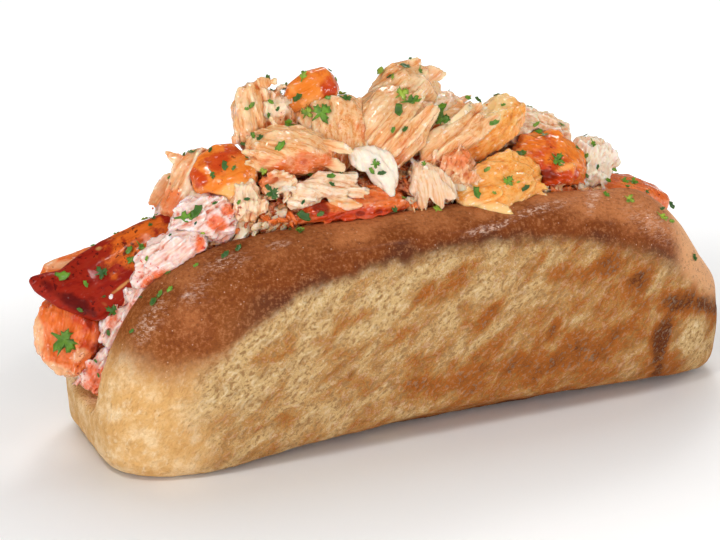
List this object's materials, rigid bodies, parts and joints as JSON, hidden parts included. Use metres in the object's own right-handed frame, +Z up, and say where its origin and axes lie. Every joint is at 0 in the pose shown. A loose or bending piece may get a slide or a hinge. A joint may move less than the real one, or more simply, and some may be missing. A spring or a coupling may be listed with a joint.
{
  "type": "lobster roll",
  "caption": "Griddled split-top bun, open along its top and at both ends, heaped with buttered lobster claw, knuckle and tail meat and chopped parsley.",
  "frame": {"origin": "on the bun's flat underside, at the middle of its length and width", "axes": "+X along the bun towards the end without the claw, +Y towards the back of the bun, +Z up out of the cut"},
  "size_m": [0.1651, 0.0505, 0.0792],
  "materials": {
    "bun_crust": "glossy brown crust over a tan griddled side",
    "shredded_meat": "moist, fibrous",
    "claw_meat_crimson": "wet, buttered",
    "claw_meat_orange": "wet, buttered",
    "claw_meat_amber": "wet, buttered",
    "knuckle_meat": "wet, fibrous",
    "white_meat": "wet, fibrous",
    "tail_meat": "wet, long fibres"
  },
  "bodies": {
    "root": {"bun": "bun_crust", "shredded_meat": "shredded_meat", "claw": "claw_meat_crimson", "claw_root": "claw_meat_orange", "thumb": "claw_meat_orange", "knuckle_end": "knuckle_meat", "knuckle_low": "knuckle_meat", "knuckle_mid": "knuckle_meat", "knuckle_high": "knuckle_meat", "tail_cap": "claw_meat_amber", "crumb_knob": "shredded_meat", "snippet": "shredded_meat", "curl": "white_meat", "flake": "white_meat", "rim_skin": "claw_meat_orange", "crown_front": "tail_meat", "crown_back": "tail_meat", "fan_middle": "tail_meat", "fan_golden": "tail_meat", "fan_top": "white_meat", "fan_hanging": "white_meat", "crumb_mass": "shredded_meat", "saddle": "tail_meat", "claw_skin": "claw_meat_amber", "end_strip": "claw_meat_orange", "fluff": "white_meat", "tail_flakes": "tail_meat", "tail_slab": "tail_meat", "tail_block": "claw_meat_crimson", "tail_tuft": "tail_meat", "tail_rough": "shredded_meat", "shoulder_flakes": "shredded_meat", "ridge_flakes": "shredded_meat", "back_knuckle": "knuckle_meat", "back_tail": "tail_meat", "back_lobe": "tail_meat", "back_skin": "claw_meat_orange", "back_flakes": "white_meat"}
  },
  "joints": []
}
